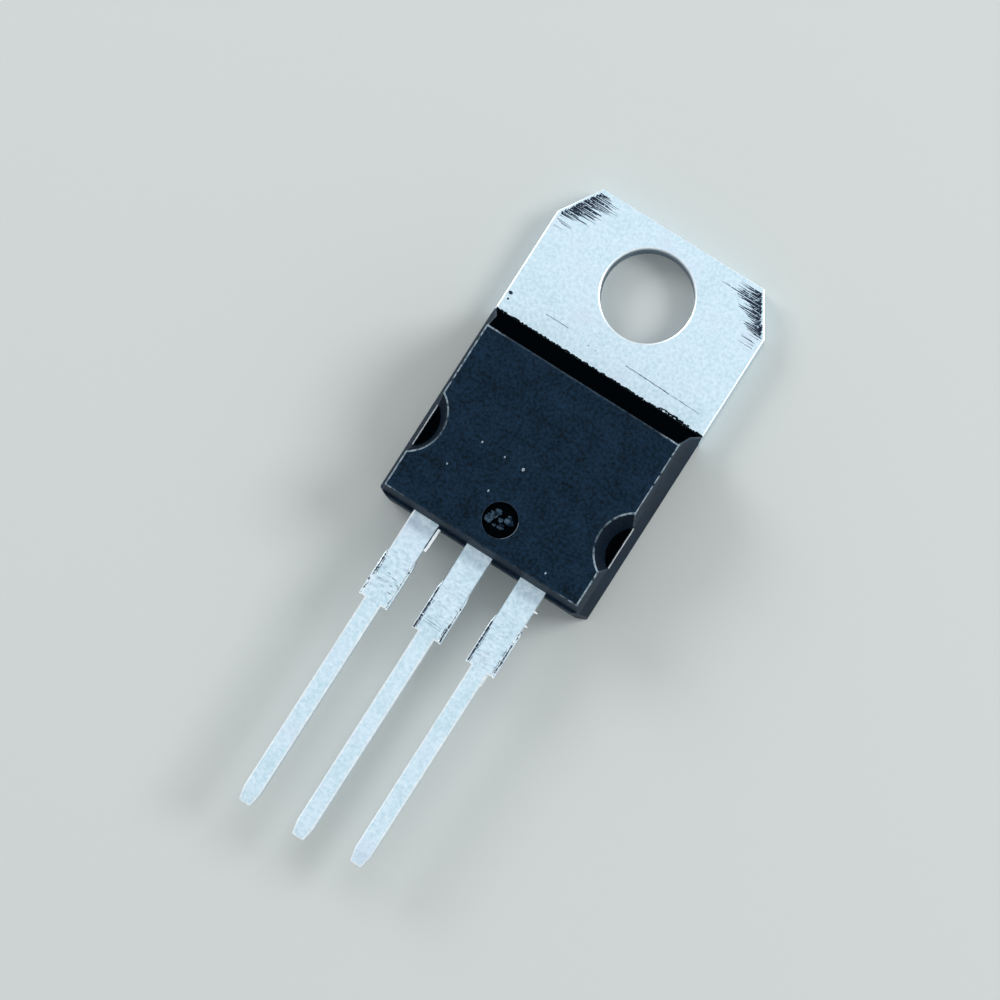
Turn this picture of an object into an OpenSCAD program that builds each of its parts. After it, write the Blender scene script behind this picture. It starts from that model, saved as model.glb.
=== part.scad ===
// Power transistor in a three-lead plastic package with a metal tab
// It lies on its metal back: Z = 0 is the back, Z up through the moulded face.
// The origin is the centre of the mounting hole, the tab points to +Y and the leads to -Y.

/* [Tab] */
// Width of the metal tab
tab_w = 10; // [9.7:0.05:10.4]
// Thickness of the tab and of the header that it continues into
tab_t = 1.27; // [1.2:0.01:1.35]
// Centre of the mounting hole to the free end of the tab
tab_edge = 2.8; // [2.65:0.05:2.95]
// Length of tab that stands out of the moulding
tab_len = 6.5; // [6.2:0.05:6.6]
// Diameter of the mounting hole
hole_d = 3.84; // [3.75:0.01:3.9]
// Cropped corners, their extent across the tab
crop_x = 1.12; // [0.6:0.02:1.3]
// Cropped corners, their extent along the tab
crop_y = 1.78; // [0.6:0.02:2]

/* [Header inside the moulding] */
// Inset of the header's sides from the sides of the tab
header_in = 0.7; // [0.6:0.05:1]
// Distance from the header's inner end to the end wall over the leads
header_back = 2.5; // [2.3:0.05:2.8]
// How far the full width of the tab runs into the moulding
shoulder_in = 0.3; // [0.2:0.05:0.4]
// Lock step along the header's lower edges, its width
lock_w = 0.3; // [0.2:0.05:0.4]
// Lock step along the header's lower edges, its height
lock_h = 0.45; // [0.3:0.05:0.6]
// Width of the lock groove across the header's face
groove_w = 0.5; // [0.3:0.05:0.6]
// Depth of the lock groove across the header's face
groove_d = 0.22; // [0.1:0.01:0.3]

/* [Moulding] */
// Overall height from the metal back to the moulded face
mould_h = 4.5; // [4.4:0.05:4.6]
// Length of the moulding
mould_len = 8.95; // [8.8:0.05:9.1]
// Run of the slope between the tab and the moulded face
face_run = 1.05; // [0.6:0.05:1.3]
// Height at which the side walls change their draft
break_h = 2.45; // [2:0.05:2.6]
// Draft of the side walls up to that height, as a run
break_run = 0.32; // [0.25:0.01:0.35]
// Draft of the side walls from there to the moulded face, as a run
side_run = 0.14; // [0.05:0.01:0.2]
// Draft of the upper end wall over the leads, as a run
end_run = 0.17; // [0.05:0.01:0.25]
// Width of the parting ledge at the leads
ledge_w = 0.14; // [0.05:0.01:0.2]
// Draft of the lower walls towards the metal back, as a run
back_run = 0.05; // [0.02:0.01:0.1]
// Cut-off lower corners at the lead end, their extent across
corner_x = 0.6; // [0.3:0.05:0.8]
// Cut-off lower corners at the lead end, their extent along
corner_y = 0.25; // [0.1:0.05:0.4]

/* [Side notches and ejector mark] */
// Radius of the side notches at the moulded face
notch_r = 1.6; // [1.4:0.05:1.7]
// Draft of the notches' walls down to their floor, as a run
notch_run = 0.4; // [0.3:0.05:0.5]
// Depth of the side notches into the moulded face
notch_in = 0.78; // [0.6:0.02:0.85]
// Centre of the side notches from the end wall over the leads
notch_back = 3.14; // [3:0.02:3.4]
// Diameter of the ejector mark
mark_d = 1.46; // [1.3:0.02:1.6]
// Depth of the ejector mark
mark_deep = 0.16; // [0.05:0.01:0.2]
// Centre of the ejector mark from the end wall over the leads
mark_back = 1.42; // [1.2:0.02:1.8]
// Centre of the ejector mark beside the centre line
mark_x = 0.13; // [-0.3:0.01:0.3]

/* [Leads] */
// Distance from lead to lead
pitch = 2.54; // [2.5:0.01:2.6]
// Thickness of the leads
lead_t = 0.5; // [0.45:0.01:0.6]
// Metal back to the underside of the leads
lead_z = 2.6; // [2.5:0.02:2.72]
// Width of the wide part of a lead, next to the moulding
wide_w = 1.21; // [1.15:0.01:1.25]
// How far the dam-bar stubs stand out on each side
stub_out = 0.065; // [0.04:0.005:0.14]
// Width of the slender part of a lead
slim_w = 0.79; // [0.65:0.01:0.88]
// Free length of the wide part, stubs included
wide_len = 3.87; // [3.5:0.01:3.93]
// Length of the dam-bar stubs
stub_len = 1.92; // [1.5:0.01:2.1]
// Length of the ramps on which the stubs begin
ramp_len = 0.4; // [0.2:0.05:0.5]
// Step of the stubs below the lead's upper face
stub_drop = 0.05; // [0.02:0.01:0.1]
// Free length of the base lead
base_len = 13.42; // [13:0.02:14]
// Free length of the collector lead
collector_len = 13.42; // [13:0.02:14]
// Free length of the emitter lead
emitter_len = 13.08; // [13:0.02:14]
// Width of the pointed tips at their end
tip_w = 0.56; // [0.4:0.02:0.64]
// Length of the pointed tips
tip_len = 0.6; // [0.3:0.05:0.8]
// Thickness of the tips at their end
tip_t = 0.34; // [0.2:0.02:0.44]

/* [Inner ends of the leads] */
// Width of the bonding posts
post_w = 2.2; // [2:0.05:2.3]
// Length of the bonding posts
post_len = 1.7; // [1.5:0.05:1.8]
// Distance from the posts to the end wall over the leads
post_back = 0.65; // [0.55:0.05:0.75]
// Gap between each post and the neck of the collector
post_gap = 0.55; // [0.5:0.05:0.65]
// Diameter of the lock holes in the posts
lock_d = 0.7; // [0.5:0.05:0.8]
// Width of the neck that lifts the collector lead off the header
neck_w = 1.8; // [1.3:0.05:1.9]
// Inner bend radius of the neck
neck_r = 0.3; // [0.2:0.05:0.4]
// Slope of the neck in degrees
neck_a = 60; // [50:1:70]

/* [Chip and wires] */
// Side of the square chip
chip_w = 2.6; // [2:0.1:3]
// Thickness of the chip
chip_t = 0.25; // [0.2:0.01:0.3]
// Thickness of the solder under the chip
solder_t = 0.05; // [0.03:0.01:0.08]
// Width of the solder fillet around the chip
solder_edge = 0.12; // [0.05:0.01:0.2]
// Centre of the chip from the header's inner end
chip_back = 3; // [2.5:0.1:3.6]
// Diameter of the base wire
base_wire_d = 0.25; // [0.2:0.01:0.3]
// Diameter of the emitter wire
emitter_wire_d = 0.38; // [0.3:0.01:0.42]
// Height of the wire loops over a straight line from foot to foot
loop_h = 0.8; // [0.6:0.05:1.1]
// Distance of the wires' outer feet from the inner edges of the posts
foot_in = 0.75; // [0.6:0.05:0.9]

/* [Hidden] */
$fn = 64;
// Excess of a cutting shape beyond the face that it cuts
over = 0.5;

// The moulding is as wide as the tab, and its side walls draw in twice on the way up
mould_w = tab_w;
break_w = mould_w - 2 * break_run;
face_w = break_w - 2 * side_run;
header_w = tab_w - 2 * header_in;
top_y = tab_edge;
line_y = tab_edge - tab_len;
end_y = line_y - mould_len;
wall_y = end_y + ledge_w;
header_y = wall_y + header_back;
lead_top = lead_z + lead_t;
shoulder_y = end_y - wide_len;
post_y = wall_y + post_back;
post_x = neck_w / 2 + post_gap;
chip_half = chip_w / 2;
chip_mid = header_y + chip_back;
chip_top = tab_t + solder_t + chip_t;
notch_x = face_w / 2 + notch_r - notch_in;
stub_w = wide_w + 2 * stub_out;

// A side view drawn as [y, z] points, made solid across the part
module across(w) {
    rotate([90, 0, 90])
        linear_extrude(w, center = true) children();
}

// Points of an arc, for outlines with round stretches
function arc(cx, cy, r, from, to, n = 6) =
    [for (i = [0:n]) let (a = from + (to - from) * i / n) [cx + r * cos(a), cy + r * sin(a)]];

// A half outline and its mirror image in one ring of points
function both_sides(half) =
    concat(half, [for (i = [len(half) - 1:-1:0]) [-half[i][0], half[i][1]]]);

// Free part of a lead from its tip to the end wall, and on to inner_y inside the moulding
module lead_outline(free_len, inner_y) {
    tip_y = end_y - free_len;
    polygon(both_sides([
        [tip_w / 2, tip_y], [slim_w / 2, tip_y + tip_len],
        [slim_w / 2, shoulder_y], [wide_w / 2, shoulder_y], [wide_w / 2, inner_y]]));
}

// Stubs left by the dam bar on both edges, a little below the upper face
module dam_stubs() {
    polygon(both_sides([
        [stub_w / 2, shoulder_y], [stub_w / 2, shoulder_y + stub_len],
        [wide_w / 2, shoulder_y + stub_len + ramp_len]]));
}

// Side view of a flat lead with its thinned tip
module lead_side(free_len, inner_y) {
    tip_y = end_y - free_len;
    thin = (lead_t - tip_t) / 2;
    polygon([[tip_y, lead_z + thin], [tip_y + tip_len, lead_z], [inner_y, lead_z],
             [inner_y, lead_top], [tip_y + tip_len, lead_top], [tip_y, lead_top - thin]]);
}

module free_lead(free_len, inner_y) {
    intersection() {
        translate([0, 0, lead_z - over]) linear_extrude(lead_t + 2 * over)
            lead_outline(free_len, inner_y);
        across(2 * stub_w) lead_side(free_len, inner_y);
    }
    translate([0, 0, lead_z]) linear_extrude(lead_t - stub_drop) dam_stubs();
}

// Bonding post and free lead in one stamping; side is -1 for the base and 1 for the emitter
module post_lead(side, free_len) {
    difference() {
        union() {
            translate([side * pitch, 0, 0]) free_lead(free_len, post_y + over);
            translate([side > 0 ? post_x : -post_x - post_w, post_y, lead_z])
                cube([post_w, post_len, lead_t]);
        }
        translate([side * pitch, post_y + lock_d, lead_z - over])
            cylinder(d = lock_d, h = lead_t + 2 * over);
    }
}

// Centre line of the neck: level at the header, a slope between two bends, level at the lead
neck_mid_r = neck_r + lead_t / 2;
neck_low = tab_t - lead_t / 2;
neck_rise = lead_z + lead_t / 2 - neck_low;
neck_slope = (neck_rise - 2 * neck_mid_r * (1 - cos(neck_a))) / sin(neck_a);
neck_run = 2 * neck_mid_r * sin(neck_a) + neck_slope * cos(neck_a);

// One face of the neck in side view, off the centre line by d, as [y, z] points from the header out
function neck_face(d) = concat(
    arc(header_y, neck_low + neck_mid_r, neck_mid_r - d, -90, -90 - neck_a),
    arc(header_y - neck_run, neck_low + neck_rise - neck_mid_r, neck_mid_r + d, 90 - neck_a, 90));

module neck_side() {
    upper = neck_face(lead_t / 2);
    lower = neck_face(-lead_t / 2);
    polygon(concat([[header_y + over, tab_t]], upper, [[end_y, lead_top], [end_y, lead_z]],
        [for (i = [len(lower) - 1:-1:0]) lower[i]], [[header_y + over, tab_t - lead_t]]));
}

module neck_outline() {
    neck_end = header_y - neck_run;
    polygon(both_sides([
        [wide_w / 2, end_y], [wide_w / 2, neck_end - (neck_w - wide_w) / 2],
        [neck_w / 2, neck_end], [neck_w / 2, header_y + over]]));
}

module tab_outline() {
    shoulder = line_y - shoulder_in;
    polygon(both_sides([
        [header_w / 2, header_y], [header_w / 2, shoulder],
        [tab_w / 2, shoulder], [tab_w / 2, top_y - crop_y], [tab_w / 2 - crop_x, top_y]]));
}

// Step along the header's lower edges that the moulding grips
module lock_step() {
    keep_w = header_w - 2 * lock_w;
    difference() {
        translate([-mould_w / 2, header_y - over, -over])
            cube([mould_w, line_y - shoulder_in - header_y + over, lock_h + over]);
        translate([-keep_w / 2, header_y + lock_w, -2 * over])
            cube([keep_w, tab_len + mould_len, lock_h + 3 * over]);
    }
}

module lock_groove() {
    groove_y = line_y - shoulder_in - groove_w;
    translate([0, groove_y, tab_t]) across(mould_w)
        polygon([[-groove_w / 2, 0], [0, -groove_d], [groove_w / 2, 0], [groove_w / 2, over],
                 [-groove_w / 2, over]]);
}

// Tab, header, neck and centre lead are one stamping of two gauges
module collector_tab() color("silver") {
    difference() {
        linear_extrude(tab_t) tab_outline();
        translate([0, 0, -over]) cylinder(d = hole_d, h = tab_t + 2 * over);
        lock_step();
        lock_groove();
    }
    intersection() {
        linear_extrude(mould_h) neck_outline();
        across(2 * neck_w) neck_side();
    }
    free_lead(collector_len, end_y);
}

module base_lead() color("gainsboro") post_lead(-1, base_len);

module emitter_lead() color("lightgray") post_lead(1, emitter_len);

module chip() color("slategray")
    translate([-chip_half, chip_mid - chip_half, tab_t + solder_t]) cube([chip_w, chip_w, chip_t]);

module die_solder() color("lightsteelblue") {
    w = chip_w + 2 * solder_edge;
    translate([-w / 2, chip_mid - w / 2, tab_t]) cube([w, w, solder_t]);
}

// A flattened bond foot on a level face at z
module bond_foot(p, a, d, z) {
    translate([p[0], p[1], z]) rotate([0, 0, a])
        translate([-d, -0.7 * d, 0]) cube([2 * d, 1.4 * d, 0.6 * d]);
}

// Wire loop from a point on the chip to a point on a post, standing in a vertical plane
module bond_wire(from, to, d) {
    reach = norm(to - from);
    rise = lead_top - chip_top;
    a = atan2(to[1] - from[1], to[0] - from[0]);
    chord = norm([reach, rise]);
    tilt = atan2(rise, reach);
    loop_r = (chord * chord / 4 + loop_h * loop_h) / (2 * loop_h);
    sag = loop_r - loop_h;
    half = asin(chord / 2 / loop_r);
    bond_foot(from, a, d, chip_top);
    bond_foot(to, a, d, lead_top);
    translate([from[0], from[1], chip_top + 0.5 * d]) rotate([0, 0, a]) rotate([90, 0, 0])
        translate([reach / 2 + sag * sin(tilt), rise / 2 - sag * cos(tilt), 0])
            rotate([0, 0, 90 + tilt - half])
                rotate_extrude(angle = 2 * half) translate([loop_r, 0]) circle(d = d);
}

function on_post(side) = [side * (post_x + post_w / 2), post_y + post_len - foot_in];
function on_chip(side) = [side * chip_w / 4, chip_mid - chip_w / 4];

module base_wire() color("whitesmoke") bond_wire(on_chip(-1), on_post(-1), base_wire_d);

module emitter_wire() color("white") bond_wire(on_chip(1), on_post(1), emitter_wire_d);

// Outer form of the moulding: the cross-section, the side view and the plan, intersected
module mould_form() {
    half = mould_w / 2;
    intersection() {
        translate([0, line_y, 0]) rotate([90, 0, 0]) linear_extrude(mould_len)
            polygon(both_sides([
                [half - back_run, 0], [half, tab_t], [break_w / 2, break_h], [face_w / 2, mould_h]]));
        across(mould_w)
            polygon([
                [line_y - shoulder_in, 0], [line_y - shoulder_in, tab_t], [line_y, tab_t],
                [line_y - face_run, mould_h], [wall_y + end_run, mould_h],
                [wall_y, lead_top], [end_y, lead_top], [end_y, tab_t], [end_y + back_run, 0]]);
        linear_extrude(mould_h)
            polygon(both_sides([
                [half - corner_x, end_y], [half, end_y + corner_y], [half, line_y]]));
    }
}

// Half-round notch with drafted wall, from the moulded face down to the change of draft
module side_notch(side) {
    grow = notch_run / (mould_h - break_h);
    translate([side * notch_x, wall_y + notch_back, break_h])
        cylinder(r1 = notch_r - notch_run, r2 = notch_r + grow * over, h = mould_h - break_h + over);
}

module moulded_body() color("darkslategray")
    difference() {
        mould_form();
        for (side = [-1, 1]) side_notch(side);
        translate([mark_x, wall_y + mark_back, mould_h - mark_deep])
            cylinder(d = mark_d, h = mark_deep + over);
        collector_tab();
        base_lead();
        emitter_lead();
        die_solder();
        chip();
        base_wire();
        emitter_wire();
    }

collector_tab();
base_lead();
emitter_lead();
chip();
die_solder();
base_wire();
emitter_wire();
moulded_body();
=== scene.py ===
import math
import random

import bmesh
import bpy
from mathutils import Matrix, Vector, noise
from mathutils.bvhtree import BVHTree


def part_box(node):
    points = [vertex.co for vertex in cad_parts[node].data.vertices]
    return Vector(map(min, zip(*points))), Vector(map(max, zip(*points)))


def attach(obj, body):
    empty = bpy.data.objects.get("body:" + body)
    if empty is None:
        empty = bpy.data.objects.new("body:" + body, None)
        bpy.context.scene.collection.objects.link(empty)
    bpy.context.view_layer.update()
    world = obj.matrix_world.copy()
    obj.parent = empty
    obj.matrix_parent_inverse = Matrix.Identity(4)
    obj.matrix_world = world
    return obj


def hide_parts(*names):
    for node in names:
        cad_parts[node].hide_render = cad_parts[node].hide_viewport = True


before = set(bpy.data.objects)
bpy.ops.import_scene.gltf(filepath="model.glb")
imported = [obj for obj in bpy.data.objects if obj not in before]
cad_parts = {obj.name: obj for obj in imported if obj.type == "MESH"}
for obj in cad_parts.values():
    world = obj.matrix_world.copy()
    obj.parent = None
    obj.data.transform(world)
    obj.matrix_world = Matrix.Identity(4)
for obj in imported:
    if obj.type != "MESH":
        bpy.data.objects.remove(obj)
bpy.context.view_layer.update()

mm = 0.001
body = "root"  # nothing moves, so every piece rides on the one body

tabLow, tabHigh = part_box("collector_tab")
mouldLow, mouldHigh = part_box("moulded_body")
mouldLine = mouldHigh.y  # where the tab comes out of the moulding
endWall = mouldLow.y  # outermost plane over the leads

package = {
    "tabFace": 1.27 * mm,
    "pitch": 2.54 * mm,
    "leadTop": tabHigh.z,
    "wideHalf": 0.605 * mm,
    "shoulder": endWall - 3.87 * mm,
    "face": mouldHigh.z,
}

# Where the trimming punch pressed the leads, and the dull band beside the moulding
pressed = {
    "begins": -13.3 * mm,
    "full": -15.0 * mm,
    "fades": -16.4 * mm,
    "ends": -16.8 * mm,
    "band": -12.98 * mm,
}


# Colours and nodes

def linearColour(hexText):
    channels = [int(hexText[i:i + 2], 16) / 255 for i in (1, 3, 5)]
    curved = [c / 12.92 if c <= 0.04045 else ((c + 0.055) / 1.055) ** 2.4 for c in channels]
    return (*curved, 1.0)


def perMetre(size):
    return 1 / (size * mm)  # noise scale that gives features of that many millimetres


def addNode(tree, kind, settings=None, inputs=None, stops=None):
    node = tree.nodes.new(kind)
    for name, value in (settings or {}).items():
        setattr(node, name, value)
    for key, value in (inputs or {}).items():
        if isinstance(value, bpy.types.NodeSocket):
            tree.links.new(value, node.inputs[key])
        else:
            node.inputs[key].default_value = value
    for i, (place, shade) in enumerate(stops or []):
        stop = node.color_ramp.elements[i] if i < 2 else node.color_ramp.elements.new(place)
        stop.position = place
        stop.color = shade
    return node


def newMaterial(name):
    material = bpy.data.materials.new(name)
    material.use_nodes = True
    material.node_tree.nodes.clear()
    return material, material.node_tree


def grey(level):
    return (level, level, level, 1.0)


# Matt electroplated tin on stamped copper: an ice-pale metal with a fine frosted grain.
# The real grain is a few thousandths of a millimetre, so it is drawn at 0.16 mm to show
def makeTinPlate(name, darkHex, lightHex, roughLow, roughHigh, grainDepth, pressedHex=None):
    material, tree = newMaterial(name)
    place = addNode(tree, "ShaderNodeTexCoord").outputs["Object"]
    grain = addNode(tree, "ShaderNodeTexNoise", inputs={
        "Vector": place, "Scale": perMetre(0.16), "Detail": 3.0, "Roughness": 0.6})
    clouds = addNode(tree, "ShaderNodeTexNoise", inputs={
        "Vector": place, "Scale": perMetre(1.3), "Detail": 2.0})
    blend = addNode(tree, "ShaderNodeMath", {"operation": "MULTIPLY_ADD"}, {
        0: clouds.outputs["Fac"], 1: 0.35, 2: -0.17})
    level = addNode(tree, "ShaderNodeMath", {"operation": "ADD"}, {
        0: grain.outputs["Fac"], 1: blend.outputs[0]})
    colour = addNode(tree, "ShaderNodeValToRGB", inputs={"Fac": level.outputs[0]}, stops=[
        (0.32, linearColour(darkHex)), (0.66, linearColour(lightHex))])
    # broad clouds of a cooler grey in the plating
    tint = addNode(tree, "ShaderNodeMapRange", inputs={
        "Value": clouds.outputs["Fac"], "From Min": 0.5, "From Max": 0.75, "To Max": 0.35})
    colour = addNode(tree, "ShaderNodeMix", {"data_type": "RGBA"}, {
        "Factor": tint.outputs["Result"], 6: colour.outputs["Color"], 7: linearColour("#bcc6dc")})
    if pressedHex:
        # the trimming punch left soft streaks across the leads, and the mould a dull band by the wall
        axes = addNode(tree, "ShaderNodeSeparateXYZ", inputs={"Vector": place})
        across = addNode(tree, "ShaderNodeMapping", inputs={"Vector": place, "Scale": (0.35, 1.0, 1.0)})
        streaks = addNode(tree, "ShaderNodeTexNoise", inputs={
            "Vector": across.outputs["Vector"], "Scale": perMetre(0.09), "Detail": 4.0})
        streaked = addNode(tree, "ShaderNodeMapRange", inputs={
            "Value": streaks.outputs["Fac"], "From Min": 0.5, "From Max": 0.7, "To Max": 0.5})
        outer = addNode(tree, "ShaderNodeMapRange", inputs={
            "Value": axes.outputs["Y"], "From Min": pressed["begins"],
            "From Max": pressed["full"], "To Min": 0.12})
        inner = addNode(tree, "ShaderNodeMapRange", inputs={
            "Value": axes.outputs["Y"], "From Min": pressed["ends"],
            "From Max": pressed["fades"], "To Min": 0.12})
        zone = addNode(tree, "ShaderNodeMath", {"operation": "MULTIPLY"}, {
            0: outer.outputs["Result"], 1: inner.outputs["Result"]})
        share = addNode(tree, "ShaderNodeMath", {"operation": "MULTIPLY"}, {
            0: zone.outputs[0], 1: streaked.outputs["Result"]})
        fromBand = addNode(tree, "ShaderNodeMath", {"operation": "ADD"}, {
            0: axes.outputs["Y"], 1: -pressed["band"]})
        fromBand = addNode(tree, "ShaderNodeMath", {"operation": "ABSOLUTE"}, {0: fromBand.outputs[0]})
        band = addNode(tree, "ShaderNodeMapRange", inputs={
            "Value": fromBand.outputs[0], "From Min": 0.08 * mm, "From Max": 0.3 * mm,
            "To Min": 0.6, "To Max": 0.0})
        dull = addNode(tree, "ShaderNodeMath", {"operation": "MULTIPLY"}, {
            0: band.outputs["Result"], 1: clouds.outputs["Fac"]})
        share = addNode(tree, "ShaderNodeMath", {"operation": "MAXIMUM"}, {
            0: share.outputs[0], 1: dull.outputs[0]})
        colour = addNode(tree, "ShaderNodeMix", {"data_type": "RGBA"}, {
            "Factor": share.outputs[0], 6: colour.outputs[2], 7: linearColour(pressedHex)})
    rough = addNode(tree, "ShaderNodeMapRange", inputs={
        "Value": grain.outputs["Fac"], "From Min": 0.3, "From Max": 0.7,
        "To Min": roughHigh, "To Max": roughLow})
    fine = addNode(tree, "ShaderNodeTexNoise", inputs={
        "Vector": place, "Scale": perMetre(0.07), "Detail": 2.0})
    height = addNode(tree, "ShaderNodeMath", {"operation": "ADD"}, {
        0: grain.outputs["Fac"], 1: fine.outputs["Fac"]})
    bump = addNode(tree, "ShaderNodeBump", inputs={
        "Height": height.outputs[0], "Strength": 0.35, "Distance": grainDepth * mm})
    shader = addNode(tree, "ShaderNodeBsdfPrincipled", inputs={
        "Base Color": colour.outputs[2], "Metallic": 1.0,
        "Roughness": rough.outputs["Result"], "Normal": bump.outputs["Normal"]})
    addNode(tree, "ShaderNodeOutputMaterial", inputs={"Surface": shader.outputs["BSDF"]})
    return material


# Tin sheared or smeared by the cutting tools: its ridges trap the light, so it looks slate and
# is drawn without a metal's shine, with streaks of 0.08 mm
def makeTornTin(name, darkHex, lightHex):
    material, tree = newMaterial(name)
    place = addNode(tree, "ShaderNodeTexCoord").outputs["Object"]
    along = addNode(tree, "ShaderNodeMapping", inputs={"Vector": place, "Scale": (0.25, 1.0, 1.0)})
    streaks = addNode(tree, "ShaderNodeTexNoise", inputs={
        "Vector": along.outputs["Vector"], "Scale": perMetre(0.08), "Detail": 3.0})
    colour = addNode(tree, "ShaderNodeValToRGB", inputs={"Fac": streaks.outputs["Fac"]}, stops=[
        (0.35, linearColour(darkHex)), (0.7, linearColour(lightHex))])
    bump = addNode(tree, "ShaderNodeBump", inputs={
        "Height": streaks.outputs["Fac"], "Strength": 0.5, "Distance": 0.01 * mm})
    shader = addNode(tree, "ShaderNodeBsdfPrincipled", inputs={
        "Base Color": colour.outputs["Color"], "Roughness": 0.7, "Specular IOR Level": 0.15,
        "Normal": bump.outputs["Normal"]})
    addNode(tree, "ShaderNodeOutputMaterial", inputs={"Surface": shader.outputs["BSDF"]})
    return material


# Silica-filled epoxy moulding compound: near-black navy, matt from the spark-eroded mould.
# Its real grain is about 0.03 mm and is drawn at 0.14 mm to show
def makeCompound(name, darkHex, lightHex, wearAndHighlightHex=None):
    material, tree = newMaterial(name)
    place = addNode(tree, "ShaderNodeTexCoord").outputs["Object"]
    filler = addNode(tree, "ShaderNodeTexNoise", inputs={
        "Vector": place, "Scale": perMetre(0.14), "Detail": 3.0, "Roughness": 0.65})
    clouds = addNode(tree, "ShaderNodeTexNoise", inputs={
        "Vector": place, "Scale": perMetre(0.9), "Detail": 2.0})
    level = addNode(tree, "ShaderNodeMath", {"operation": "MULTIPLY_ADD"}, {
        0: clouds.outputs["Fac"], 1: 0.4, 2: -0.2})
    level = addNode(tree, "ShaderNodeMath", {"operation": "ADD"}, {
        0: filler.outputs["Fac"], 1: level.outputs[0]})
    colour = addNode(tree, "ShaderNodeValToRGB", inputs={"Fac": level.outputs[0]}, stops=[
        (0.3, linearColour(darkHex)), (0.75, linearColour(lightHex))]).outputs["Color"]
    rough = addNode(tree, "ShaderNodeMapRange", inputs={
        "Value": filler.outputs["Fac"], "From Min": 0.3, "From Max": 0.7,
        "To Min": 0.5, "To Max": 0.68}).outputs["Result"]
    if wearAndHighlightHex:
        # rubbed edges show paler filler, partly wear and partly a painted highlight, on the long sides
        # more than at the ends
        axes = addNode(tree, "ShaderNodeSeparateXYZ", inputs={"Vector": place})
        aside = addNode(tree, "ShaderNodeMath", {"operation": "ABSOLUTE"}, {0: axes.outputs["X"]})
        sides = addNode(tree, "ShaderNodeMapRange", inputs={
            "Value": aside.outputs[0], "From Min": 3.6 * mm, "From Max": 4.2 * mm,
            "To Min": 0.08, "To Max": 1.0})
        broken = addNode(tree, "ShaderNodeTexNoise", inputs={
            "Vector": place, "Scale": perMetre(0.25), "Detail": 4.0})
        rubbed = addNode(tree, "ShaderNodeMapRange", inputs={
            "Value": broken.outputs["Fac"], "From Min": 0.36, "From Max": 0.54})
        share = addNode(tree, "ShaderNodeMath", {"operation": "MULTIPLY"}, {
            0: sides.outputs["Result"], 1: rubbed.outputs["Result"]})
        # painted highlight: the edges at the top face paler than the lower ones
        upper = addNode(tree, "ShaderNodeMapRange", inputs={
            "Value": axes.outputs["Z"], "From Min": 4.2 * mm, "From Max": 4.42 * mm,
            "To Min": 0.12, "To Max": 1.0})
        share = addNode(tree, "ShaderNodeMath", {"operation": "MULTIPLY"}, {
            0: share.outputs[0], 1: upper.outputs["Result"]})
        colour = addNode(tree, "ShaderNodeMix", {"data_type": "RGBA"}, {
            "Factor": share.outputs[0], 6: colour, 7: linearColour(wearAndHighlightHex)}).outputs[2]
    bump = addNode(tree, "ShaderNodeBump", inputs={
        "Height": filler.outputs["Fac"], "Strength": 0.4, "Distance": 0.012 * mm})
    shader = addNode(tree, "ShaderNodeBsdfPrincipled", inputs={
        "Base Color": colour, "Roughness": rough, "IOR": 1.5, "Specular IOR Level": 0.17,
        "Specular Tint": linearColour("#9fc4dc"),
        "Normal": bump.outputs["Normal"]})
    addNode(tree, "ShaderNodeOutputMaterial", inputs={"Surface": shader.outputs["BSDF"]})
    return material


# Plain materials with one fine noise over their colour: the sealed pieces, dull resin, painted shade,
# painted highlights, pale filler
def makeSealed(name, darkHex, lightHex, metallic, roughness, grainSize, gloss=0.5):
    material, tree = newMaterial(name)
    place = addNode(tree, "ShaderNodeTexCoord").outputs["Object"]
    grain = addNode(tree, "ShaderNodeTexNoise", inputs={
        "Vector": place, "Scale": perMetre(grainSize), "Detail": 3.0})
    colour = addNode(tree, "ShaderNodeValToRGB", inputs={"Fac": grain.outputs["Fac"]}, stops=[
        (0.3, linearColour(darkHex)), (0.7, linearColour(lightHex))])
    bump = addNode(tree, "ShaderNodeBump", inputs={
        "Height": grain.outputs["Fac"], "Strength": 0.3, "Distance": 0.005 * mm})
    shader = addNode(tree, "ShaderNodeBsdfPrincipled", inputs={
        "Base Color": colour.outputs["Color"], "Metallic": metallic, "Roughness": roughness,
        "Specular IOR Level": gloss, "Normal": bump.outputs["Normal"]})
    addNode(tree, "ShaderNodeOutputMaterial", inputs={"Surface": shader.outputs["BSDF"]})
    return material


# Tin plate on the flats: frosted and ice-pale, streaked where the leads were pressed
mattTin = makeTinPlate("matt_tin_plate", "#b8d1de", "#d4e9f4", 0.42, 0.54, 0.008, "#7e93ab")
# Tin rubbed bright along the edges, with a painted highlight: a whiter, shinier line
rubbedTinAndHighlight = makeTinPlate("rubbed_tin_edge_and_painted_highlight", "#dbe8ee", "#f2f9fc", 0.3, 0.4, 0.004)
# Tin torn by the shear at the tab's corners: nearly black streaks
tornTin = makeTornTin("torn_tin_dark", "#101a27", "#34455b")
# Tin dulled beside a cut: flecks and bands a little darker than the flats
dulledTin = makeTinPlate("dulled_tin_smear", "#8da4b4", "#b3c8d5", 0.5, 0.6, 0.01)
# Tin smeared over a cut: mid grey
smearedTin = makeTornTin("smeared_tin_grey", "#43566b", "#7f94a8")
# Metal in the trimmed grooves: dark grey with lighter breaks; also the painted shadow in the gap beside
# the base lead's burr
grooveAndGapShadowTin = makeTornTin("trim_groove_grey_and_painted_gap_shadow", "#152030", "#44566b")
# Tin over the rough punched wall of the hole: dull blue-grey
punchedWall = makeTinPlate("punched_hole_wall", "#566a79", "#8398a6", 0.5, 0.62, 0.012)
# Epoxy of the moulded faces: navy black with a soft grain
compound = makeCompound("epoxy_moulding_compound", "#02070e", "#182f45")
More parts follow.
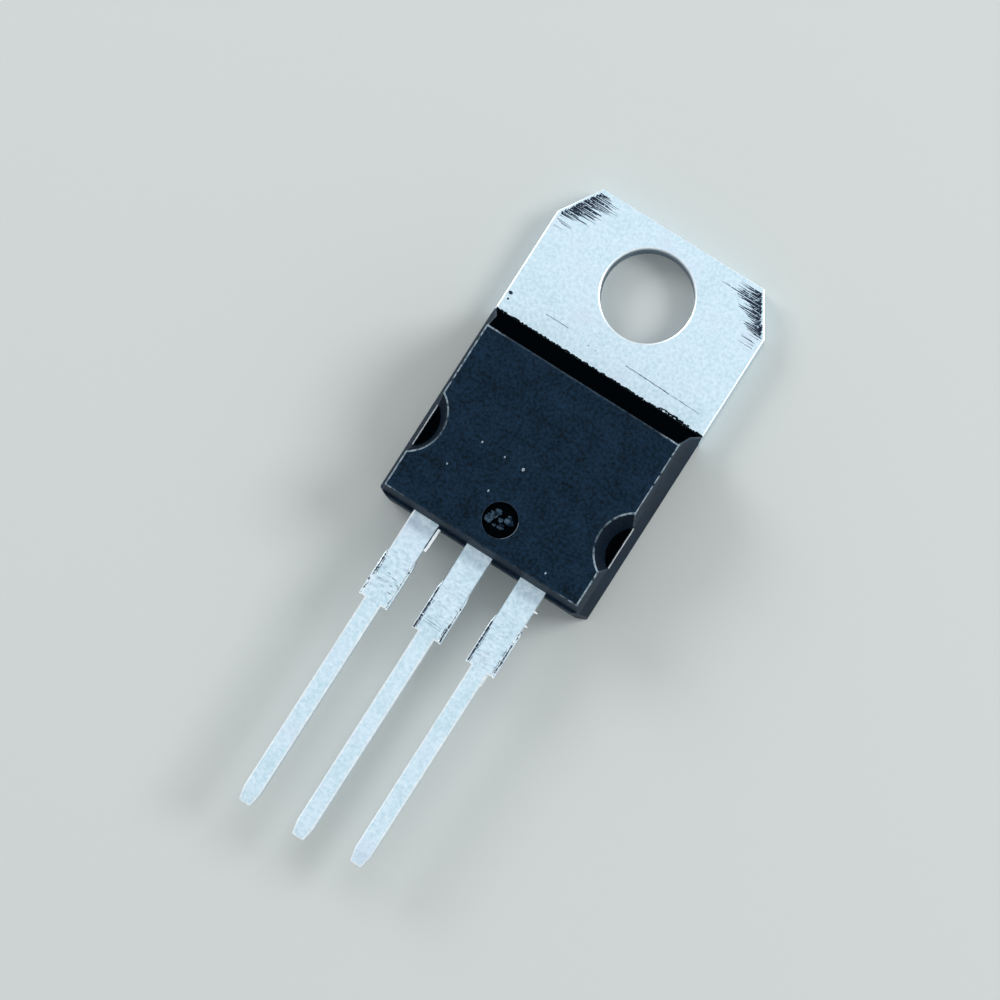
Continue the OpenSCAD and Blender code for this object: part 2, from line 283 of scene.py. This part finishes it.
# The same at its rubbed edges: a pale, broken line, partly wear and partly painted highlight
wornEdgeAndHighlight = makeCompound("rubbed_epoxy_edge_and_painted_highlight", "#02070e", "#182f45", "#93a6b3")
# Epoxy lumps on the floor of the ejector mark, painted lighter as a highlight where they catch more
# light
litReliefCompound = makeCompound("cast_relief_epoxy_painted_highlight", "#0a1420", "#4a6376")
# Painted shade on the slope and on the sunk floors of the notches and the ejector mark: epoxy drawn
# black, with no gloss
paintedShadeCompound = makeSealed("painted_shade_epoxy_slope", "#010203", "#03070b", 0.0, 0.8, 0.1, 0.0)
# Epoxy of the notch walls: dull and dark blue
notchCompound = makeSealed("dull_notch_wall_epoxy", "#050d15", "#122233", 0.0, 0.75, 0.1, 0.03)
# Thin resin that crept past the mould: black
resinFlash = makeCompound("resin_flash", "#030508", "#0b1117")
# Painted highlight along the notches' outer edges: nearly white
notchEdgeHighlight = makeSealed("painted_notch_edge_highlight", "#b9c8d2", "#eaf2f6", 0.0, 0.5, 0.15)
# Painted highlight on the lower right of the ejector mark's rim: a thin grey line
markRimHighlight = makeSealed("painted_rim_highlight", "#40515e", "#6f838f", 0.0, 0.6, 0.05)
# Single grains of filler in the moulded face: pale specks
paleSpeck = makeSealed("pale_filler_speck", "#6d828f", "#9fb3bf", 0.0, 0.6, 0.05)
print("materials made")


# Mesh helpers

def mergedCopy(node):
    shape = bmesh.new()
    shape.from_mesh(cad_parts[node].data)
    bmesh.ops.remove_doubles(shape, verts=shape.verts, dist=0.0001 * mm)
    bmesh.ops.dissolve_limit(
        shape, angle_limit=math.radians(1), verts=shape.verts, edges=shape.edges)
    shape.edges.layers.float.new("bevel_weight_edge")
    return shape


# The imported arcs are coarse, so each of their chords is cut up and pushed out to the true radius
def roundOut(shape, centre, radiusAt, cuts):
    def away(vert):
        return math.hypot(vert.co.x - centre[0], vert.co.y - centre[1])

    arcs = [e for e in shape.edges if e.calc_length() < 0.5 * mm
            and all(abs(away(v) - radiusAt(v.co.z)) < 0.003 * mm for v in e.verts)
            and abs(e.verts[0].co.z - e.verts[1].co.z) < 0.001 * mm]
    made = bmesh.ops.subdivide_edges(shape, edges=arcs, cuts=cuts, use_grid_fill=True)
    for vert in (v for v in made["geom_inner"] if isinstance(v, bmesh.types.BMVert)):
        stretch = radiusAt(vert.co.z) / away(vert)
        vert.co.x = centre[0] + (vert.co.x - centre[0]) * stretch
        vert.co.y = centre[1] + (vert.co.y - centre[1]) * stretch
    print("rounded", len(arcs), "chords")


def middle(edge):
    return (edge.verts[0].co + edge.verts[1].co) / 2


def sharpEdges(shape):
    return [e for e in shape.edges if len(e.link_faces) == 2
            and e.is_convex and e.calc_face_angle() > math.radians(20)]


# Edges get their own rounding: a weight of 1 stands for the widest one
def weighEdges(shape, edges, widthAt, widest):
    weights = shape.edges.layers.float["bevel_weight_edge"]
    for edge in edges:
        edge[weights] = widthAt(middle(edge)) / widest


def finishPiece(name, shape, materials, replaced=None, widest=None):
    mesh = bpy.data.meshes.new(name)
    shape.normal_update()
    shape.to_mesh(mesh)
    shape.free()
    for material in materials:
        mesh.materials.append(material)
    mesh.shade_smooth()
    mesh.set_sharp_from_angle(angle=math.radians(25))
    piece = bpy.data.objects.new(name, mesh)
    bpy.context.scene.collection.objects.link(piece)
    if widest:
        rounding = piece.modifiers.new("rounded_edges", "BEVEL")
        rounding.limit_method = "WEIGHT"
        rounding.width = widest
        rounding.segments = 3
        rounding.use_clamp_overlap = False
        # the roundings take the second material: a paler edge, partly a painted highlight
        rounding.material = 1
        flatter = piece.modifiers.new("flat_faces_stay_flat", "WEIGHTED_NORMAL")
        flatter.weight = 100
        flatter.keep_sharp = True
    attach(piece, body)
    if replaced:
        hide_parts(replaced)
    print("made", name, len(mesh.polygons), "faces")
    return piece


def setFinish(verts, finish):
    for face in {f for v in verts for f in v.link_faces}:
        face.material_index = finish


# A thin wedge lying on a face, wide at its foot and pointed at its end
def addSliver(shape, foot, size, toward, finish=0):
    length, width, height = size
    verts = bmesh.ops.create_cube(shape, size=1.0)["verts"]
    bmesh.ops.scale(shape, vec=size, verts=verts)
    point = [v for v in verts if v.co.x * toward > 0]
    bmesh.ops.scale(shape, vec=(1, 0.3, 1), verts=point)
    bmesh.ops.translate(shape, vec=Vector(foot) + Vector((toward * length / 2, 0, 0)), verts=verts)
    setFinish(verts, finish)


# A ragged bead between two points: its sides wander, its ends are blunt
def addBead(shape, start, end, width, height, step, ragged, draw, finish=0):
    run = Vector(end) - Vector(start)
    verts = bmesh.ops.create_cube(shape, size=1.0)["verts"]
    bmesh.ops.scale(shape, vec=(run.length, width, height), verts=verts)
    rails = [e for v in verts if v.co.x < 0 for e in v.link_edges if e.other_vert(v).co.x > 0]
    cuts = max(2, int(run.length / step))
    made = bmesh.ops.subdivide_edges(shape, edges=rails, cuts=cuts, use_grid_fill=True)
    cutUp = [e for e in made["geom"] if isinstance(e, bmesh.types.BMEdge)]
    # sorted, so that each place gets the same draw in every run
    verts = sorted({v for e in cutUp for v in e.verts}, key=lambda v: v.co[:])
    pushes = {}
    for vert in verts:
        side = (round(vert.co.x / mm, 3), vert.co.y > 0)
        vert.co.y += ragged * pushes.setdefault(side, draw.uniform(-1, 1))
    turn = Matrix.Rotation(math.atan2(run.y, run.x), 3, "Z")
    bmesh.ops.rotate(shape, cent=(0, 0, 0), matrix=turn, verts=verts)
    bmesh.ops.translate(shape, vec=(Vector(start) + Vector(end)) / 2, verts=verts)
    setFinish(verts, finish)


# A grain, pit or lump: a small ball squashed to its size
def addGrain(shape, place, size, finish=0, detail=1):
    verts = bmesh.ops.create_icosphere(shape, subdivisions=detail, radius=1.0)["verts"]
    bmesh.ops.scale(shape, vec=size, verts=verts)
    bmesh.ops.translate(shape, vec=place, verts=verts)
    setFinish(verts, finish)
    return verts


# Leads: stamped strip with rounded edges, the stubs of the dam bar stay sharper
lead = {
    "slimRound": 0.09 * mm,
    "wideRound": 0.07 * mm,
    "stubRound": 0.018 * mm,
    "tipRound": 0.075 * mm,
    "tipLen": 0.6 * mm,
    "widest": 0.1 * mm,
}


def leadRound(place, centreX, tipY):
    if place.y > endWall:
        return 0
    if place.y > package["shoulder"] - 0.001 * mm:
        onStub = abs(place.x - centreX) > package["wideHalf"] + 0.005 * mm
        return lead["stubRound"] if onStub else lead["wideRound"]
    if place.y < tipY + lead["tipLen"]:
        return lead["tipRound"]
    return lead["slimRound"]


def dressLead(node, centreX):
    shape = mergedCopy(node)
    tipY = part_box(node)[0].y
    weighEdges(shape, sharpEdges(shape), lambda p: leadRound(p, centreX, tipY), lead["widest"])
    return finishPiece(node + "_skin", shape, [mattTin, rubbedTinAndHighlight],
                       node, lead["widest"])


dressLead("base_lead", -package["pitch"])
dressLead("emitter_lead", package["pitch"])


# Tab and collector lead in one stamping
tab = {
    "holeRadius": 1.92 * mm,
    "edgeRound": 0.06 * mm,
    "rimRound": 0.09 * mm,
    "hidden": mouldLine - 0.2 * mm,
    "arcCuts": 5,
}


def tabRound(place):
    if math.hypot(place.x, place.y) < tab["holeRadius"] + 0.02 * mm:
        return tab["rimRound"]
    if place.y > tab["hidden"]:
        return tab["edgeRound"]
    return leadRound(place, 0, tabLow.y)


def dressTab():
    shape = mergedCopy("collector_tab")
    roundOut(shape, (0, 0), lambda z: tab["holeRadius"], tab["arcCuts"])
    weighEdges(shape, sharpEdges(shape), tabRound, lead["widest"])
    for face in shape.faces:
        spot = face.calc_center_median()
        if abs(face.normal.z) < 0.1 and math.hypot(spot.x, spot.y) < tab["holeRadius"] + 0.02 * mm:
            face.material_index = 2
    return finishPiece("collector_tab_skin", shape, [mattTin, rubbedTinAndHighlight, punchedWall],
                       "collector_tab", lead["widest"])


dressTab()


# Moulding: sharp from the mould, with a small rounding drawn paler, partly wear and partly painted
# highlight
mould = {
    "sideRound": 0.06 * mm,
    "endRound": 0.045 * mm,
    "ledgeRound": 0.025 * mm,
    "ledgeTop": package["leadTop"] + 0.05 * mm,
    "widest": 0.06 * mm,
    "notchX": 5.36 * mm,
    "notchY": -9.37 * mm,
    "notchTop": 1.6 * mm,
    "notchFloor": 1.2 * mm,
    "notchFloorZ": 2.45 * mm,
    "mark": (0.13 * mm, -11.09 * mm),
    "markRadius": 0.73 * mm,
    "markDeep": 0.16 * mm,
    "arcCuts": 5,
    "slopeFoot": mouldLine - 1.2 * mm,
}


def notchRadius(z):
    rise = (z - mould["notchFloorZ"]) / (package["face"] - mould["notchFloorZ"])
    return mould["notchFloor"] + (mould["notchTop"] - mould["notchFloor"]) * rise


def mouldRound(place):
    if place.y < endWall + 0.2 * mm and place.z < mould["ledgeTop"]:
        return mould["ledgeRound"]
    if math.hypot(place.x - mould["mark"][0], place.y - mould["mark"][1]) < 0.8 * mm:
        return mould["ledgeRound"]
    return mould["sideRound"] if abs(place.x) > 3.7 * mm else mould["endRound"]


# Outer edges are those that a ray can leave freely: the pockets round the leads stay as they are
def outerEdges(shape):
    tree = BVHTree.FromBMesh(shape)
    found = []
    for edge in sharpEdges(shape):
        out = (edge.link_faces[0].normal + edge.link_faces[1].normal).normalized()
        if tree.ray_cast(middle(edge) + out * 0.005 * mm, out)[0] is None:
            found.append(edge)
    return found


def dressMould():
    shape = mergedCopy("moulded_body")
    for side in (-1, 1):
        roundOut(shape, (side * mould["notchX"], mould["notchY"]), notchRadius, mould["arcCuts"])
    roundOut(shape, mould["mark"], lambda z: mould["markRadius"], mould["arcCuts"])
    weighEdges(shape, outerEdges(shape), mouldRound, mould["widest"])
    for face in shape.faces:
        spot = face.calc_center_median()
        onSlope = face.normal.y > 0.8 and face.normal.z > 0.1 and spot.y > mould["slopeFoot"]
        onFloor = face.normal.z > 0.9 and abs(spot.x) > 4 * mm
        inNotch = onFloor and spot.z < mould["notchFloorZ"] + 0.1 * mm
        fromMark = math.hypot(spot.x - mould["mark"][0], spot.y - mould["mark"][1])
        inMark = fromMark < mould["markRadius"] + 0.01 * mm and spot.z < package["face"] - 0.01 * mm
        fromNotch = math.hypot(abs(spot.x) - mould["notchX"], spot.y - mould["notchY"])
        onWall = abs(face.normal.z) < 0.5 and fromNotch < notchRadius(spot.z) + 0.02 * mm
        # the slope and the sunk floors get painted shade, the notch walls a dull dark blue
        if onSlope or inNotch or inMark:
            face.material_index = 2
        elif onWall and spot.z > mould["notchFloorZ"]:
            face.material_index = 3
    return finishPiece("moulded_body_skin", shape,
                       [compound, wornEdgeAndHighlight, paintedShadeCompound, notchCompound],
                       "moulded_body", mould["widest"])


dressMould()


# Tear marks at the tab's cropped corners: rows of streaks, dense by the edge and thinner inward
tears = {
    "firstY": 2.54,
    "step": 0.07,
    "edge": 0.13,
    "width": 0.085,
    "left": (0.2, 0.35, 0.75, 0.6, 0.75, 0.85, 0.8, 0.9, 0.9, 0.65, 0.4, 0.9, 0.85, 0.75, 0.9,
             0.95, 0.6, 0.75, 0.5, 0.6, 0.75, 0.45, 0.35),
    "right": (0.45, 0.5, 0.35, 0.7, 0.85, 0.95, 1.15, 1.05, 0.8, 0.4, 0.4, 0.4, 0.6, 0.8, 0.5,
              0.5, 0.45, 0.35, 0.35, 0.75, 0.7, 0.4, 0.3),
    "rightStretch": 1.12,
    "tabHalf": 5,
    "cropFrom": 1.02,
    "cropWide": 1.12,
    "cropLong": 1.78,
    "lowStreaks": 6,
    "flecks": 70,
}


# Half the tab's width at a place along it, which shrinks where the corner is cropped
def tabEdge(y):
    return tears["tabHalf"] - max(0, y - tears["cropFrom"]) * tears["cropWide"] / tears["cropLong"]


def addTears(shape, side, reaches, draw):
    z = package["tabFace"]
    for i, reach in enumerate(reaches):
        y = tears["firstY"] - i * tears["step"] + draw.uniform(-0.012, 0.012)
        foot = tabEdge(y) - tears["edge"] - draw.uniform(0, 0.07)
        length = reach * draw.uniform(0.9, 1.2)
        thick = tears["width"] * draw.uniform(0.75, 1.25)
        addSliver(shape, (side * foot * mm, y * mm, z), (length * mm, thick * mm, 0.012 * mm), -side)
        for k in range(draw.randint(2, 4)):
            start = foot - length * draw.uniform(0.4, 1.05)
            tail = draw.uniform(0.15, 0.45)
            lift = y + draw.uniform(-0.03, 0.03)
            addSliver(shape, (side * start * mm, lift * mm, z),
                      (tail * mm, draw.uniform(0.018, 0.034) * mm, 0.01 * mm), -side,
                      draw.randint(0, 1))
    for k in range(tears["lowStreaks"]):
        y = draw.uniform(0.4, 0.95)
        foot = tears["tabHalf"] - draw.uniform(0.15, 0.5)
        addSliver(shape, (side * foot * mm, y * mm, z),
                  (draw.uniform(0.3, 0.75) * mm, 0.022 * mm, 0.008 * mm), -side,
                  draw.randint(0, 1))
    # metal left between the streaks shows as pale flecks
    for k in range(tears["flecks"]):
        row = draw.randrange(len(reaches))
        y = tears["firstY"] - (row + draw.uniform(-0.5, 0.5)) * tears["step"]
        x = tabEdge(y) - tears["edge"] - draw.uniform(0, 0.8) * reaches[row]
        size = draw.uniform(0.01, 0.024)
        addGrain(shape, (side * x * mm, y * mm, z + 0.004 * mm),
                 (size * draw.uniform(1, 3) * mm, size * mm, 0.006 * mm), 2)


# Scratches and pits on the tab, where the photograph shows them
scratches = {
    "lines": (((0.8, -2.89), (2.9, -2.93), 0.028, 0.12, 0.01, 0),
              ((3.0, -2.93), (4.37, -2.96), 0.022, 0.12, 0.008, 1),
              ((-3.09, -2.83), (-2.0, -2.83), 0.026, 0.1, 0.01, 1)),
    "pits": ((-0.95, -3.01, (0.05, 0.02, 0.006), 1, 1),
             (-0.6, -3.03, (0.04, 0.02, 0.006), 1, 1),
             (-4.79, -2.86, (0.1, 0.075, 0.008), 0, 2),
             (-4.75, -3.13, (0.055, 0.045, 0.008), 0, 2)),
}


def dressTabFace():
    draw = random.Random(11)
    shape = bmesh.new()
    z = package["tabFace"]
    addTears(shape, -1, tears["left"], draw)
    addTears(shape, 1, [tears["rightStretch"] * reach for reach in tears["right"]], draw)
    for (startX, startY), (endX, endY), width, step, ragged, finish in scratches["lines"]:
        addBead(shape, (startX * mm, startY * mm, z), (endX * mm, endY * mm, z), width * mm,
                0.01 * mm, step * mm, ragged * mm, draw, finish)
    for x, y, size, finish, detail in scratches["pits"]:
        addGrain(shape, (x * mm, y * mm, z), [s * mm for s in size], finish, detail)
    finishPiece("tab_tears", shape, [tornTin, smearedTin, dulledTin])


dressTabFace()


# Resin that crept onto the tab at the mould line, with crumbs on the right
flash = {
    "lineY": -3.69,
    "reach": 4.96,
    "crumbs": 26,
    "crumbsFrom": 2.85,
    "crumbsTo": 4.3,
    "crumbsY": -3.55,
    "ridge": ((2.9, -3.58), (3.75, -3.61)),
    "cornerBlob": (4.9, -3.7),
    "endBlob": (-4.35, 0.04, 2.95),
}


def dressFlash():
    draw = random.Random(23)
    shape = bmesh.new()
    z = package["tabFace"]
    lineY = flash["lineY"] * mm
    addBead(shape, (-flash["reach"] * mm, lineY, z), (flash["reach"] * mm, lineY, z),
            0.09 * mm, 0.03 * mm, 0.06 * mm, 0.035 * mm, draw)
    for k in range(flash["crumbs"]):
        along = draw.uniform(flash["crumbsFrom"], flash["crumbsTo"])
        size = draw.uniform(0.025, 0.06)
        y = flash["crumbsY"] - 0.03 * (along - flash["crumbsFrom"]) - draw.uniform(0, 0.07)
        addGrain(shape, (along * mm, y * mm, z), (size * 1.5 * mm, size * mm, 0.014 * mm))
    ridge = [(x * mm, y * mm, z) for x, y in flash["ridge"]]
    addBead(shape, *ridge, 0.035 * mm, 0.024 * mm, 0.045 * mm, 0.025 * mm, draw)
    x, y = flash["cornerBlob"]
    addGrain(shape, (x * mm, y * mm, z), (0.09 * mm, 0.07 * mm, 0.06 * mm), 0, 2)
    x, out, up = flash["endBlob"]
    addGrain(shape, (x * mm, endWall + out * mm, up * mm), (0.06 * mm, 0.04 * mm, 0.05 * mm), 0, 2)
    finishPiece("mould_line_flash", shape, [resinFlash])


dressFlash()


# Rough relief cast inside the ejector mark, painted lighter as a highlight, a painted highlight on the
# mark's rim, pale specks in the moulded face and painted highlights on the notch edges
relief = {
    "lobes": ((-0.39, -0.1, 0.2), (-0.27, 0.06, 0.17), (-0.2, 0.26, 0.11), (0.31, 0.05, 0.18),
              (0.2, -0.2, 0.14), (0.03, 0.0, 0.1), (0.28, 0.3, 0.09), (-0.12, -0.3, 0.08)),
    "specks": ((-2.15, -8.84, 0.04), (-1.07, -8.87, 0.035), (-0.18, -8.9, 0.06),
               (-2.87, -10.32, 0.035), (-0.9, -10.35, 0.04), (2.79, -11.9, 0.04)),
    "glintRadius": 0.745,
    "glintFrom": -55,
    "glintStep": 10,
    "glintSteps": 8,
    "notchGlintX": 4.685,
    "notchGlintFrom": -8.4,
    "notchGlintTo": -10.3,
    "notchGlintZ": 2.445,
}


def dressMark():
    draw = random.Random(31)
    shape = bmesh.new()
    floorZ = package["face"] - mould["markDeep"]
    place = Vector((*mould["mark"], floorZ))
    for x, y, size in relief["lobes"]:
        for k in range(3):
            shift = Vector((draw.uniform(-0.4, 0.4), draw.uniform(-0.4, 0.4), 0)) * size
            spot = place + (Vector((x, y, 0.01)) + shift) * mm
            lump = (size * draw.uniform(0.6, 1.05) * mm, size * draw.uniform(0.5, 0.95) * mm,
                    draw.uniform(0.05, 0.08) * mm)
            # most lumps take the lighter epoxy: painted highlight
            for vert in addGrain(shape, spot, lump, draw.choice((2, 2, 4)), 3):
                rough = noise.fractal((vert.co - place) * perMetre(0.1), 0.6, 2.0, 3)
                vert.co += (vert.co - spot) * 0.5 * rough
    # painted highlight: thin grey beads along the lower right of the mark's rim
    for k in range(relief["glintSteps"]):
        turn = [math.radians(relief["glintFrom"] + relief["glintStep"] * (k + more)) for more in (0, 1)]
        spots = [Vector((*mould["mark"], package["face"]))
                 + Vector((math.cos(a), math.sin(a), 0)) * relief["glintRadius"] * mm for a in turn]
        addBead(shape, spots[0], spots[1], 0.022 * mm, 0.01 * mm, 0.04 * mm, 0.004 * mm, draw)
    for x, y, size in relief["specks"]:
        addGrain(shape, (x * mm, y * mm, package["face"]),
                 (size * mm, size * 1.3 * mm, 0.008 * mm), 3, 2)
    # painted highlight: a nearly white line on the outer edge of each notch floor
    for side in (-1, 1):
        x = side * relief["notchGlintX"] * mm
        z = relief["notchGlintZ"] * mm
        addBead(shape, (x, relief["notchGlintFrom"] * mm, z), (x, relief["notchGlintTo"] * mm, z),
                0.045 * mm, 0.03 * mm, 0.2 * mm, 0.006 * mm, draw, 1)
    finishPiece("ejector_mark_relief", shape,
                [markRimHighlight, notchEdgeHighlight, litReliefCompound, paleSpeck, compound])


dressMark()


# Trim scars where the dam bar was cut: broken grooves, nicks, crumbs, burrs and spikes
scar = {
    "grooveX": 0.6,
    "grooveZ": 3.08,
    "top": -14.62,
    "foot": -16.48,
    "nicks": ((0.14, -15.3, 0.2), (0.4, -15.47, 0.16), (0.2, -15.6, 0.16), (0.27, -15.88, 0.18),
              (-0.33, -15.56, 0.1), (-0.1, -15.2, 0.12)),
    "bands": (-15.95, -16.05),
    "spikes": ((-13.39, 0.77), (-14.07, 0.72), (-14.54, 0.68)),
    "tips": (-26.07, -26.07, -25.73),
    "burr": ((0.7, -12.62, 3.0), (0.67, -13.71, 3.0)),
    "burrGapShadow": ((0.615, -12.62, 3.06), (0.6, -13.6, 3.06)),
    "lowBurr": ((0.4, -16.5, 2.95), (0.4, -17.06, 2.95)),
}


# A spot on a lead, measured across it from its own centre line
def leadSpot(centreX, x, y, z):
    return ((centreX + x) * mm, y * mm, z * mm)


# A groove in broken lengths, some with a thinner one beside it
def addGroove(shape, centreX, side, startY, endY, draw, wide=0.07):
    z = scar["grooveZ"] * mm
    y = startY
    while y > endY + 0.04:
        foot = max(endY, y - draw.uniform(0.06, 0.3))
        x = centreX + side * (scar["grooveX"] + draw.uniform(-0.015, 0.015))
        addBead(shape, (x * mm, y * mm, z), (x * mm, foot * mm, z),
                wide * draw.uniform(0.5, 1.1) * mm, 0.05 * mm, 0.04 * mm, 0.014 * mm, draw)
        if draw.random() < 0.55:
            x -= side * draw.uniform(0.07, 0.1)
            addBead(shape, (x * mm, (y - 0.02) * mm, z), (x * mm, (foot - 0.03) * mm, z),
                    0.03 * mm, 0.045 * mm, 0.04 * mm, 0.008 * mm, draw, 1)
        y = foot - draw.uniform(0.01, 0.05)


# Crumbs and bright teeth along the edge that the trimming punch sheared
def addCrumbs(shape, centreX, side, startY, endY, count, draw):
    for k in range(count):
        x = centreX + side * draw.uniform(0.52, 0.64)
        y = draw.uniform(endY, startY)
        size = draw.uniform(0.014, 0.034)
        addGrain(shape, (x * mm, y * mm, 3.09 * mm), (size * mm, size * 1.6 * mm, 0.016 * mm),
                 draw.choice((0, 1, 1, 2)))


def addSpike(shape, centreX, y, reach):
    addSliver(shape, ((centreX + 0.54) * mm, y * mm, 3.04 * mm),
              ((reach - 0.54) * mm, 0.12 * mm, 0.08 * mm), 1, 2)


def dressScars():
    draw = random.Random(47)
    shape = bmesh.new()
    pitch = package["pitch"] / mm
    # base lead: a burr sliver along the right with painted shadow in the gap beside it, a ragged left
    # edge, cross nicks
    addBead(shape, *[leadSpot(-pitch, *spot) for spot in scar["burr"]],
            0.13 * mm, 0.16 * mm, 0.15 * mm, 0.012 * mm, draw, 2)
    # painted shadow: a dark bead in the gap between the burr and the lead
    addBead(shape, *[leadSpot(-pitch, *spot) for spot in scar["burrGapShadow"]],
            0.045 * mm, 0.08 * mm, 0.15 * mm, 0.008 * mm, draw)
    addGroove(shape, -pitch, -1, -14.62, -15.6, draw, 0.05)
    addCrumbs(shape, -pitch, -1, -14.5, -16.3, 30, draw)
    addCrumbs(shape, -pitch, 1, -14.5, -16.3, 14, draw)
    for x, y, reach in scar["nicks"]:
        addBead(shape, leadSpot(-pitch, x, y, 3.1), leadSpot(-pitch, x + reach, y - 0.01, 3.1),
                0.03 * mm, 0.01 * mm, 0.06 * mm, 0.003 * mm, draw, 1)
    # collector lead: a dark jagged groove down the left, fragments at the lower right
    addGroove(shape, 0, -1, scar["top"], scar["foot"], draw)
    addCrumbs(shape, 0, -1, -14.7, -16.4, 10, draw)
    addCrumbs(shape, 0, 1, -14.9, -16.45, 30, draw)
    addGroove(shape, 0, 1, -15.7, -16.45, draw, 0.035)
    for y in scar["bands"]:
        addBead(shape, leadSpot(0, -0.42, y, 3.1), leadSpot(0, 0.4, y - 0.02, 3.1),
                0.045 * mm, 0.006 * mm, 0.08 * mm, 0.01 * mm, draw, 3)
    # emitter lead: the same groove, jagged fragments and three spikes at the right
    addGroove(shape, pitch, -1, scar["top"], scar["foot"], draw)
    addCrumbs(shape, pitch, 1, -14.3, -16.4, 40, draw)
    addGroove(shape, pitch, 1, -15.0, -16.3, draw, 0.04)
    for y, reach in scar["spikes"]:
        addSpike(shape, pitch, y, reach)
    addBead(shape, *[leadSpot(pitch, *spot) for spot in scar["lowBurr"]],
            0.06 * mm, 0.1 * mm, 0.1 * mm, 0.012 * mm, draw, 2)
    # dull specks on the tips: worn tin, partly painted shade of the coined slope
    for x, tipY in zip((-pitch, 0, pitch), scar["tips"]):
        for k in range(5):
            spotX = x + draw.uniform(-0.12, 0.12)
            spotY = tipY + draw.uniform(0.1, 0.22)
            size = draw.uniform(0.02, 0.05)
            addGrain(shape, (spotX * mm, spotY * mm, 3.02 * mm),
                     (size * 1.4 * mm, size * mm, 0.012 * mm), 1)
    finishPiece("trim_scars", shape, [grooveAndGapShadowTin, smearedTin, rubbedTinAndHighlight, dulledTin])


dressScars()


# The sealed pieces keep their solids and get their own materials: smooth dark grey silicon,
# dull grey solder and silvery drawn wire
sealed = {
    "chip": makeSealed("lapped_silicon", "#474e58", "#5a626e", 0.2, 0.25, 0.3),
    "die_solder": makeSealed("lead_tin_solder", "#8a8f94", "#a9aeb2", 1.0, 0.5, 0.1),
    "base_wire": makeSealed("drawn_aluminium", "#c9cccf", "#dfe1e3", 1.0, 0.35, 0.05),
}
sealed["emitter_wire"] = sealed["base_wire"]
for node, material in sealed.items():
    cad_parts[node].data.materials.clear()
    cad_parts[node].data.materials.append(material)


# Floor, light and camera
studio = {
    "floorHex": "#d2d9d8",
    "floorSize": 0.8,
    "keyPlace": (0.20, 0.16, 0.24),
    "fillPlace": (-0.26, 0.06, 0.22),
    "lampSize": 0.16,
    "keyPower": 0.5,
    "fillPower": 0.32,
    "worldShade": 0.55,
    "worldSeen": 0.92,
}


# Floor of pale uncoated card: matt, with a fibre too faint to draw the eye
def makeFloor():
    shape = bmesh.new()
    bmesh.ops.create_grid(shape, x_segments=1, y_segments=1, size=studio["floorSize"] / 2)
    bmesh.ops.translate(shape, vec=(0, -0.012, -0.00002), verts=shape.verts)
    mesh = bpy.data.meshes.new("floor")
    shape.to_mesh(mesh)
    shape.free()
    material, tree = newMaterial("pale_card")
    place = addNode(tree, "ShaderNodeTexCoord").outputs["Object"]
    fibre = addNode(tree, "ShaderNodeTexNoise", inputs={
        "Vector": place, "Scale": perMetre(1.2), "Detail": 4.0})
    bump = addNode(tree, "ShaderNodeBump", inputs={
        "Height": fibre.outputs["Fac"], "Strength": 0.15, "Distance": 0.05 * mm})
    shader = addNode(tree, "ShaderNodeBsdfPrincipled", inputs={
        "Base Color": linearColour(studio["floorHex"]), "Roughness": 0.8,
        "Specular IOR Level": 0.2, "Normal": bump.outputs["Normal"]})
    addNode(tree, "ShaderNodeOutputMaterial", inputs={"Surface": shader.outputs["BSDF"]})
    mesh.materials.append(material)
    floor = bpy.data.objects.new("floor", mesh)
    bpy.context.scene.collection.objects.link(floor)


def addLamp(name, place, power):
    data = bpy.data.lights.new(name, "AREA")
    data.shape = "DISK"
    data.size = studio["lampSize"]
    data.energy = power
    lamp = bpy.data.objects.new(name, data)
    aim = Vector((0, -0.012, 0)) - Vector(place)
    lamp.location = place
    lamp.rotation_euler = aim.to_track_quat("-Z", "Y").to_euler()
    bpy.context.scene.collection.objects.link(lamp)


def makeWorld():
    world = bpy.data.worlds.new("pale_studio")
    bpy.context.scene.world = world
    world.use_nodes = True
    tree = world.node_tree
    tree.nodes.clear()
    path = addNode(tree, "ShaderNodeLightPath")
    seen = addNode(tree, "ShaderNodeMath", {"operation": "MAXIMUM"}, {
        0: path.outputs["Is Camera Ray"], 1: path.outputs["Is Glossy Ray"]})
    seen = addNode(tree, "ShaderNodeMath", {"operation": "MAXIMUM"}, {
        0: seen.outputs[0], 1: path.outputs["Is Transmission Ray"]})
    light = addNode(tree, "ShaderNodeBackground", inputs={
        "Color": grey(1), "Strength": studio["worldShade"]})
    backdrop = addNode(tree, "ShaderNodeBackground", inputs={
        "Color": grey(1), "Strength": studio["worldSeen"]})
    mix = addNode(tree, "ShaderNodeMixShader", inputs={
        0: seen.outputs[0], 1: light.outputs[0], 2: backdrop.outputs[0]})
    addNode(tree, "ShaderNodeOutputWorld", inputs={"Surface": mix.outputs[0]})


# The photograph's view: almost from above, turned by about a third of a right angle
view = {
    "place": (12.325 * mm, -18.048 * mm, 153.521 * mm),
    "turn": (5.0714, 2.5072, 32.6135),
    "lens": 135.69,
}


def makeCamera():
    data = bpy.data.cameras.new("camera")
    data.lens = view["lens"]
    data.sensor_width = 36
    data.clip_start = 1 * mm
    camera = bpy.data.objects.new("camera", data)
    camera.location = view["place"]
    camera.rotation_euler = [math.radians(a) for a in view["turn"]]
    bpy.context.scene.collection.objects.link(camera)
    bpy.context.scene.camera = camera


makeFloor()
makeWorld()
addLamp("key_lamp", studio["keyPlace"], studio["keyPower"])
addLamp("fill_lamp", studio["fillPlace"], studio["fillPower"])
makeCamera()
bpy.context.scene.view_settings.view_transform = "Standard"
print("studio made")
